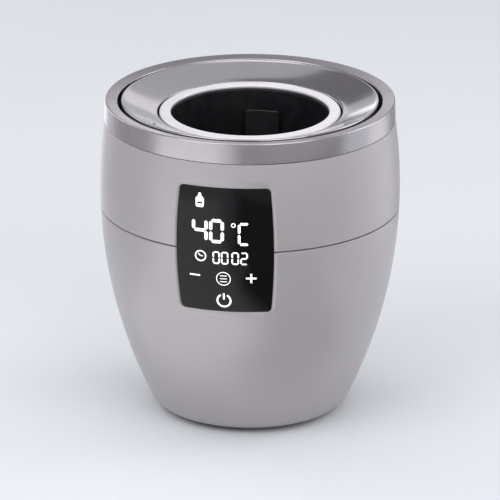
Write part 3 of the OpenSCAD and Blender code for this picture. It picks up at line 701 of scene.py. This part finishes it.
def stroke(bm, a, b, width, mitre=0.0):
    """A flat stroke on the display's plane, from a to b, its ends narrowed by a share of its width."""
    a, b = Vector(a), Vector(b)
    cells = max(2, round((b - a).length / 0.8))
    verts = bmesh.ops.create_grid(bm, x_segments=cells, y_segments=2, size=1)["verts"]
    turned = Matrix.Rotation(atan2(b.y - a.y, b.x - a.x), 2)
    for v in verts:
        x, y = v.co.x * (b - a).length / 2, v.co.y * width / 2
        if abs(v.co.x) > 0.99 and abs(v.co.y) > 0.5:
            x -= mitre * width * (1 if x > 0 else -1)
        here = turned @ Vector((x, y)) + (a + b) / 2
        v.co = (here.x, here.y, 0)


def arc_stroke(bm, centre, radius, width, first=0, sweep=360, steps=40):
    """A flat round stroke on the display's plane."""
    verts = [bm.verts.new((centre[0] + radius + side * width / 2, centre[1], 0)) for side in (-1, 1)]
    edge = bm.edges.new(verts)
    middle = Vector((*centre, 0))
    bmesh.ops.rotate(bm, verts=verts, cent=middle, matrix=Matrix.Rotation(radians(first), 3, "Z"))
    bmesh.ops.spin(bm, geom=[*verts, edge], cent=middle, axis=(0, 0, 1), angle=radians(sweep), steps=steps,
                   use_merge=sweep == 360)


SEGMENT_GAP, SEGMENT_MITRE = 0.16, 0.42         # shares of a segment's width
SYMBOL_LIFT, SYMBOL_SINK = 0.03, 0.1            # how far symbols stand out of the window and reach in


def digit(bm, centre, width, height, thick, segments):
    """A seven-segment figure. Segments a to g run round from the top, with g across the middle."""
    w, h, gap = (width - thick) / 2, (height - thick) / 2, thick * SEGMENT_GAP
    ends = {"a": ((-w, h), (w, h)), "b": ((w, h), (w, 0)), "c": ((w, 0), (w, -h)), "d": ((-w, -h), (w, -h)),
            "e": ((-w, -h), (-w, 0)), "f": ((-w, 0), (-w, h)), "g": ((-w, 0), (w, 0))}
    for name in segments:
        a, b = (Vector(p) + Vector(centre) for p in ends[name])
        along = (b - a).normalized() * gap
        stroke(bm, a + along, b - along, thick, SEGMENT_MITRE)


def display_piece(name, s, draw):
    """Draws flat symbols and lays them on the window's curved face, as a thin layer let into it."""
    bm = bmesh.new()
    draw(bm)
    bmesh.ops.remove_doubles(bm, verts=bm.verts, dist=MERGE)
    made = bmesh.ops.extrude_face_region(bm, geom=list(bm.faces))["geom"]
    raised = {g for g in made if isinstance(g, bmesh.types.BMVert)}
    for v in bm.verts:
        x, z = v.co.x, v.co.y + s.window_z
        v.co = (x, -sqrt(side_r(s, z, -SYMBOL_LIFT if v in raised else SYMBOL_SINK) ** 2 - x * x), z)
    finish_piece(name, bm, HOUSING, "led_white")


def build_symbols(s):
    """The lit figures and the touch symbols."""
    def temperature(bm):
        digit(bm, (-12.3, 10.6), 8.2, 12.7, 1.7, "bcfg")
        digit(bm, (-3.7, 10.6), 7.6, 12.7, 1.7, "abcdef")
        arc_stroke(bm, (4.8, 14.1), 0.95, 0.5, steps=24)
        digit(bm, (10.1, 9.5), 6.1, 12.1, 1.35, "adef")

    def timer(bm):
        for u, segments in ((-3.9, "abcdef"), (0.4, "abcdef"), (5.7, "abcdef"), (10.1, "abdeg")):
            digit(bm, (u, -3.5), 3.8, 6.8, 0.8, segments)

    def clock(bm):
        u, v = -12.0, -3.2
        arc_stroke(bm, (u, v), 2.65, 0.7)
        stroke(bm, (u, v), (u - 1.25, v + 1.25), 0.6)
        stroke(bm, (u + 0.25, v), (u + 1.2, v), 0.5)

    def bottle(bm):
        u, v = -12.4, 26.2
        arc_stroke(bm, (u, v + 2.9), 0.42, 0.8, 0, 180, 12)
        for half, height, width, mitre in ((0.85, 2.4, 0.9, 0), (1.7, 1.5, 0.9, 0.5), (2.15, 0.05, 2.0, 0),
                                           (2.15, -2.45, 1.1, 0), (2.0, -3.35, 0.7, 0.6)):
            stroke(bm, (u - half, v + height), (u + half, v + height), width, mitre)
        for side in (-1, 1):
            stroke(bm, (u + side * 1.72, v - 0.95), (u + side * 1.72, v - 1.9), 0.86)

    def keys(bm):
        stroke(bm, (-17.8, -13.9), (-12.4, -13.9), 0.85)
        stroke(bm, (10.9, -14.2), (16.1, -14.2), 0.95)
        for side in (-1, 1):
            stroke(bm, (13.5, -14.2 + side * 0.475), (13.5, -14.2 + side * 2.55), 0.95)

    def power(bm):
        arc_stroke(bm, (-0.4, -26.9), 3.35, 0.95, 118, 304, 40)
        stroke(bm, (-0.4, -26.3), (-0.4, -22.8), 0.95)

    def menu(bm):
        arc_stroke(bm, (-0.4, -14.8), 3.5, 0.42)
        for v in (-13.2, -14.8, -16.4):
            stroke(bm, (-2.2, v), (1.4, v), 0.4)

    for name, draw in (("lit_temperature", temperature), ("lit_timer", timer), ("lit_clock", clock),
                       ("lit_bottle", bottle), ("lit_plus_minus", keys), ("lit_power", power),
                       ("lit_menu", menu)):
        display_piece(name, s, draw)


# ---- well and basket ----

def build_well(s):
    """The drawn cup of the heating well, with its flange."""
    wall, flange_r, top, outer_round = 1.4, 44.7, 156.2, 8.0
    floor, r = s.well_floor_z, s.well_r
    corners = [(0, floor - wall, 0), (r + wall, floor - wall, outer_round), (r + wall, top - wall, 0),
               (flange_r, top - wall, 0), (flange_r, top, 0.3), (r, top, 0.6), (r, floor, outer_round - wall),
               (0, floor, 0)]
    bm = bmesh.new()
    turn(bm, rounded(corners, 8))
    finish_piece("nonstick_well", bm, HOUSING, "well_coating", ["heating_well"])


SLOT_CELL = 4.5         # degrees either side of a floor slot that become its edges
SLOT_BLEND = 22.5


def build_basket(s):
    """The lift-out basket: slotted floor, windowed wall, foot ring, and two tall arms with grip ribs."""
    r, wall, rim, floor, floor_t = s.basket_r, 1.5, 78.0, 60.6, 2.0
    r_in, floor_top = r - wall, floor + floor_t
    slot_half, slot_in, slot_out, slot_bow = 1.6, 8.0, 26.0, 6.0
    window_low, window_high, window_column = 66.6, 74.6, 3.0
    spokes, between = 8, 22.5
    radii = [0, slot_in, slot_in + slot_bow, slot_out - slot_bow, slot_out]
    outer = [(x, floor) for x in radii]
    outer += [(r - 2, floor), (r - 1, floor + 0.27), (r - 0.27, floor + 1), (r, floor + 2)]
    outer += [(r, window_low), (r, window_high), (r, rim - 0.5), (r - 0.4, rim)]
    inner = [(r_in + 0.3, rim), (r_in, rim - 0.5), (r_in, window_high), (r_in, window_low)]
    inner += [(r_in, floor_top + 1.5), (r_in - 1.2, floor_top)] + [(x, floor_top) for x in reversed(radii)]
    bm = bmesh.new()
    turn(bm, outer + inner, 120, 360, 1.5)
    bmesh.ops.remove_doubles(bm, verts=bm.verts, dist=MERGE)

    def from_spoke(point, offset):
        return (degrees(atan2(point.y, point.x)) - offset + between) % (2 * between) - between

    def is_open(face):
        centre = face.calc_center_median()
        radius = hypot(centre.x, centre.y)
        slot = slot_in < radius < slot_out and abs(from_spoke(centre, 0)) < SLOT_CELL
        window = (radius > r_in - 0.5 and window_low < centre.z < window_high
                  and abs(from_spoke(centre, between)) < window_column)
        return slot or window

    bmesh.ops.delete(bm, geom=[f for f in bm.faces if is_open(f)], context="FACES")
    for v in bm.verts:
        radius = hypot(v.co.x, v.co.y)
        if not slot_in - MERGE < radius < slot_out + MERGE:
            continue
        spoke = from_spoke(v.co, 0)
        edge = degrees(asin(slot_half / radius))
        change = stretched(spoke, SLOT_CELL, edge, SLOT_BLEND) - radians(spoke)
        v.co = Matrix.Rotation(change, 3, "Z") @ v.co
    rims = [(e, (e.verts[0].co + e.verts[1].co) / 2) for e in bm.edges if e.is_boundary]
    for k in range(spokes):
        for offset, is_slot in ((0, True), (between, False)):
            angle = offset + 2 * between * k
            loop = [e for e, middle in rims if (hypot(middle.x, middle.y) < slot_out + 1) == is_slot
                    and abs((degrees(atan2(middle.y, middle.x)) - angle + 180) % 360 - 180) < 15]
            bmesh.ops.bridge_loops(bm, edges=loop)
    ring_in, ring_out, low, high = 30, 33, 58.8, 61.1
    foot_ring = [(ring_in, low, 0.4), (ring_out, low, 0.4), (ring_out, high, 0), (ring_in, high, 0)]
    turn(bm, rounded(foot_ring, 3), SMALL_ROUND)
    arm_t, arm_low, arm_top, arm_width = 1.1, rim - 2, 146.0, 18
    rib_in, rib_out, rib_height, rib_width = r - 0.6, r + 0.8, 1.5, 14
    arm = [(r - arm_t, arm_low, 0.2), (r, arm_low, 0.2), (r, arm_top, 0.45), (r - arm_t, arm_top, 0.45)]
    arm_half, rib_half = degrees(asin(arm_width / 2 / r)), degrees(asin(rib_width / 2 / rib_out))
    for middle in (90, 270):
        turn(bm, rounded(arm, 3), 14, 2 * arm_half, middle - arm_half)
        for low in (arm_top - 6, arm_top - 10):
            high = low + rib_height
            rib = [(rib_in, low, 0), (rib_out, low, 0.5), (rib_out, high, 0.5), (rib_in, high, 0)]
            turn(bm, rounded(rib, 4), 12, 2 * rib_half, middle - rib_half)
    finish_piece("lift_out_basket", bm, BASKET, "basket_plastic", ["jar_basket"])


# ---- base and cord entry ----

def build_feet(s):
    """Four round rubber feet with pegs."""
    bm = bmesh.new()
    place, foot_r, foot_top, peg_r, peg_top = 33, 5, 2.5, 2, 4.3
    section = rounded([(0, 0, 0), (foot_r, 0, 0.8), (foot_r, foot_top, 0), (peg_r, foot_top, 0),
                       (peg_r, peg_top, 0.3), (0, peg_top, 0)], 4)
    turn_four(bm, section, 48, place, pi / 4)
    finish_piece("foot_pads", bm, HOUSING, "rubber", ["rubber_feet"])


def build_gland(s):
    """The rubber gland in the cord pocket, with an inner and an outer flange."""
    bm = bmesh.new()
    corners = [(3.3, 47.5, 0.2), (7, 47.5, 0.4), (7, 49.5, 0), (5.4, 49.5, 0), (5.4, 52, 0), (8, 52, 0),
               (8, 54.5, 0.9), (5.2, 54.5, 0.3), (5.2, 57, 0.5), (3.3, 57, 0.4)]
    made = turn(bm, rounded(corners, 4), 64)
    lay_along_y(bm, made, 0, s.cord_z)
    finish_piece("cord_gland_visible", bm, HOUSING, "rubber", ["cord_gland"])


# ---- stage ----

VIEW_AZIMUTH, VIEW_ELEVATION = 9.8, 20.0
VIEW_DISTANCE, LENS = 2.5, 350.0


def direction(azimuth, elevation):
    """The way out from the object at an angle round from its front, towards +X, and above the horizon."""
    a, e = radians(azimuth), radians(elevation)
    return Vector((sin(a) * cos(e), -cos(a) * cos(e), sin(e)))


def panel(name, azimuth, elevation, distance, width, height, strength):
    """A soft rectangular light that faces the middle of the object."""
    data = bpy.data.lights.new(name, "AREA")
    data.shape = "RECTANGLE"
    data.size, data.size_y = width, height
    data.energy = strength
    light = bpy.data.objects.new(name, data)
    bpy.context.scene.collection.objects.link(light)
    out = direction(azimuth, elevation)
    light.location = Vector((0, 0, 0.09)) + out * distance
    light.rotation_euler = out.to_track_quat("Z", "Y").to_euler()
    light.visible_camera = False


def card(name, azimuth, elevation, distance, width, height, brightness, fade=0.3, lying=0.0):
    """A plain card that only glossy faces see, as bright or as dark as its brightness.

    It faces the object, or lies at a height over the floor. Its edge fades over a share of its half width."""
    bm = bmesh.new()
    bm.loops.layers.uv.new()
    bmesh.ops.create_grid(bm, x_segments=1, y_segments=1, size=0.5, calc_uvs=True)
    bmesh.ops.scale(bm, verts=bm.verts, vec=(width, height, 1))
    out = direction(azimuth, elevation)
    if lying:
        turned = Matrix.Rotation(radians(azimuth), 4, "Z")
        place = Vector((0, 0, lying)) + out * distance
    else:
        turned = out.to_track_quat("Z", "Y").to_matrix().to_4x4()
        place = Vector((0, 0, 0.11)) + out * distance
    bmesh.ops.transform(bm, verts=bm.verts, matrix=Matrix.Translation(place) @ turned)
    board = add_mesh(name, bm)
    paint, tree, shader = new_material(name)
    shader.inputs["Base Color"].default_value = (0, 0, 0, 1)
    shader.inputs["Specular IOR Level"].default_value = 0
    shader.inputs["Emission Color"].default_value = (1, 0.99, 1, 1)
    shader.inputs["Emission Strength"].default_value = brightness
    over = add_node(tree, "ShaderNodeTexCoord").outputs["UV"]
    centred = add_node(tree, "ShaderNodeVectorMath", {"operation": "MULTIPLY_ADD"},
                       {0: over, 1: (2, 2, 0), 2: (-1, -1, 0)}).outputs["Vector"]
    away = add_node(tree, "ShaderNodeVectorMath", {"operation": "ABSOLUTE"}, {0: centred}).outputs["Vector"]
    sides = add_node(tree, "ShaderNodeSeparateXYZ", inputs={"Vector": away})
    fades = [add_node(tree, "ShaderNodeMapRange", {"interpolation_type": "SMOOTHSTEP"}, {
        "Value": sides.outputs[axis], "From Min": 1.0, "From Max": 1 - fade}).outputs["Result"]
        for axis in ("X", "Y")]
    cover = add_node(tree, "ShaderNodeMath", {"operation": "MULTIPLY"}, {0: fades[0], 1: fades[1]})
    tree.links.new(cover.outputs["Value"], shader.inputs["Alpha"])
    board.data.materials.append(paint)
    for kind in ("camera", "diffuse", "transmission", "volume_scatter", "shadow"):
        setattr(board, "visible_" + kind, False)
    board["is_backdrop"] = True


# Name, azimuth and elevation in degrees, distance, width and height in metres, brightness, fading share of
# the half width, and the height over the floor of a card that lies there. Those in front shape the band and
# the window, and those behind shape the dish.
CARDS = (
    ("bright_card_front", -34, 8, 0.25, 0.30, 0.12, 1.1, 0.45),
    ("bright_card_window", -34, -15, 0.26, 0.30, 0.14, 1.7, 0.4),
    ("bright_card_low", -34, 0, 0.2, 0.30, 0.28, 1.6, 0.35, 0.003),
    ("dark_card_front", 40, 8, 0.25, 0.50, 0.12, 0.58),
    ("dark_card_window", 40, -15, 0.26, 0.50, 0.14, 0.25),
    ("dark_card_low", 31, 0, 0.2, 0.24, 0.28, 0.22, 0.3, 0.002),
    ("bright_card_right", 116, 0, 0.25, 0.13, 0.22, 1.3),
    ("dark_card_right", 148, 0, 0.25, 0.10, 0.22, 0.4),
    ("dark_card_left", -85, 0, 0.25, 0.26, 0.22, 0.5),
    ("bright_card_left", -138, 0, 0.25, 0.10, 0.22, 1.5),
    ("dark_card_above", -150, 38, 0.6, 0.34, 0.30, 0.12, 0.06),
    ("bright_card_behind", -161, 6, 0.6, 0.15, 0.20, 1.6, 0.1),
    ("bright_card_high", -178, 23, 0.6, 0.26, 0.14, 1.05, 0.25),
    ("dark_card_behind", 179, 3, 0.6, 0.20, 0.12, 0.4),
)


def build_stage():
    """A plain pale floor, soft studio light, and the camera."""
    scene = bpy.context.scene
    scene.view_settings.view_transform = "Standard"
    bm = bmesh.new()
    bmesh.ops.create_grid(bm, x_segments=1, y_segments=1, size=8)
    floor = add_mesh("floor", bm)
    paper, tree, shader = new_material("pale_studio_paper")
    place = add_node(tree, "ShaderNodeTexCoord").outputs["Object"]
    fibre = add_node(tree, "ShaderNodeTexNoise", inputs={"Vector": place, "Scale": 3.0, "Detail": 2.0})
    tint = add_node(tree, "ShaderNodeMix", {"data_type": "RGBA"}, {"Factor": fibre.outputs["Fac"]})
    tint.inputs[COLOUR_A].default_value = (*linear("dcdfe3"), 1)
    tint.inputs[COLOUR_B].default_value = (*linear("e2e4e8"), 1)
    tree.links.new(tint.outputs[COLOUR_OUT], shader.inputs["Base Color"])
    shader.inputs["Roughness"].default_value = 0.8
    shader.inputs["Specular IOR Level"].default_value = 0.1
    floor.data.materials.append(paper)
    floor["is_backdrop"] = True

    world = bpy.data.worlds.new("studio_room")
    world.use_nodes = True
    world.node_tree.nodes["Background"].inputs["Color"].default_value = (*linear("f2f4f8"), 1)
    world.node_tree.nodes["Background"].inputs["Strength"].default_value = 0.62
    scene.world = world

    panel("key_left", -36, 40, 1.5, 1.0, 1.0, 6.5)
    panel("fill_front", 40, 30, 1.5, 1.0, 1.0, 5.5)
    panel("fill_right", 115, 25, 1.4, 0.8, 1.2, 5.5)
    panel("fill_left", -118, 20, 1.4, 0.8, 1.2, 3.5)
    panel("top_soft", 0, 88, 1.4, 1.0, 1.0, 4)
    for row in CARDS:
        card(*row)

    data = bpy.data.cameras.new("camera")
    data.lens = LENS
    camera = bpy.data.objects.new("camera", data)
    scene.collection.objects.link(camera)
    low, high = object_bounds()
    back = direction(VIEW_AZIMUTH, VIEW_ELEVATION)
    camera.location = (low + high) / 2 + back * VIEW_DISTANCE
    camera.rotation_euler = back.to_track_quat("Z", "Y").to_euler()
    scene.camera = camera


# ---- operators ----

class BuildShells(bpy.types.Operator):
    """Builds the two lacquered outer shells"""
    bl_idname = "bottle_warmer.shells"
    bl_label = "Outer shells"

    def execute(self, context):
        build_lower_shell(sizes_mm())
        build_upper_shell(sizes_mm())
        return {"FINISHED"}


class BuildTop(bpy.types.Operator):
    """Builds the metal trim, the lift-off dish and the ring round the well"""
    bl_idname = "bottle_warmer.top"
    bl_label = "Trim, dish and ring"

    def execute(self, context):
        build_trim(sizes_mm())
        build_dish(sizes_mm())
        build_well_ring(sizes_mm())
        return {"FINISHED"}


class BuildDisplay(bpy.types.Operator):
    """Builds the curved window and its lit symbols"""
    bl_idname = "bottle_warmer.display"
    bl_label = "Display"

    def execute(self, context):
        build_window(sizes_mm())
        build_symbols(sizes_mm())
        return {"FINISHED"}


class BuildWell(bpy.types.Operator):
    """Builds the heating well and the basket in it"""
    bl_idname = "bottle_warmer.well"
    bl_label = "Well and basket"

    def execute(self, context):
        build_well(sizes_mm())
        build_basket(sizes_mm())
        return {"FINISHED"}


class BuildBase(bpy.types.Operator):
    """Builds the rubber feet and the cord gland"""
    bl_idname = "bottle_warmer.base"
    bl_label = "Feet and gland"

    def execute(self, context):
        build_feet(sizes_mm())
        build_gland(sizes_mm())
        return {"FINISHED"}


class FinishInside(bpy.types.Operator):
    """Gives the remaining pieces of the frame their materials"""
    bl_idname = "bottle_warmer.inside"
    bl_label = "Inner parts"

    def execute(self, context):
        for entry in frame["record"]["subparts"]:
            for place in frame["nodes"][entry["node"]].material_slots:
                place.material = material_for(entry["material_slot"])
        return {"FINISHED"}


class BuildStage(bpy.types.Operator):
    """Adds the floor, the studio light and the camera"""
    bl_idname = "bottle_warmer.stage"
    bl_label = "Stage"

    def execute(self, context):
        build_stage()
        return {"FINISHED"}


OPERATORS = (BuildShells, BuildTop, BuildDisplay, BuildWell, BuildBase, FinishInside, BuildStage)


class WarmerPanel(bpy.types.Panel):
    """Lists the warmer's settings and its build steps"""
    bl_idname = "VIEW3D_PT_bottle_warmer"
    bl_label = "Bottle Warmer"
    bl_space_type = "VIEW_3D"
    bl_region_type = "UI"
    bl_category = "Bottle Warmer"

    def draw(self, context):
        settings = context.scene.bottle_warmer
        for group in (settings.sizes, settings.colours):
            for name in type(group).__annotations__:
                self.layout.prop(group, name)
        for operator in OPERATORS:
            self.layout.operator(operator.bl_idname)


CLASSES = (WarmerSizes, WarmerColours, WarmerSettings, *OPERATORS, WarmerPanel)


def register():
    """Registers the classes and hangs the settings on the scene."""
    for cls in CLASSES:
        bpy.utils.register_class(cls)
    bpy.types.Scene.bottle_warmer = PointerProperty(type=WarmerSettings)


def unregister():
    """Takes the settings and the classes away again."""
    del bpy.types.Scene.bottle_warmer
    for cls in reversed(CLASSES):
        bpy.utils.unregister_class(cls)


def main():
    """Builds everything in order."""
    register()
    bpy.ops.bottle_warmer.shells()
    bpy.ops.bottle_warmer.top()
    bpy.ops.bottle_warmer.display()
    bpy.ops.bottle_warmer.well()
    bpy.ops.bottle_warmer.base()
    bpy.ops.bottle_warmer.inside()
    bpy.ops.bottle_warmer.stage()


if __name__ == "__main__":
    main()
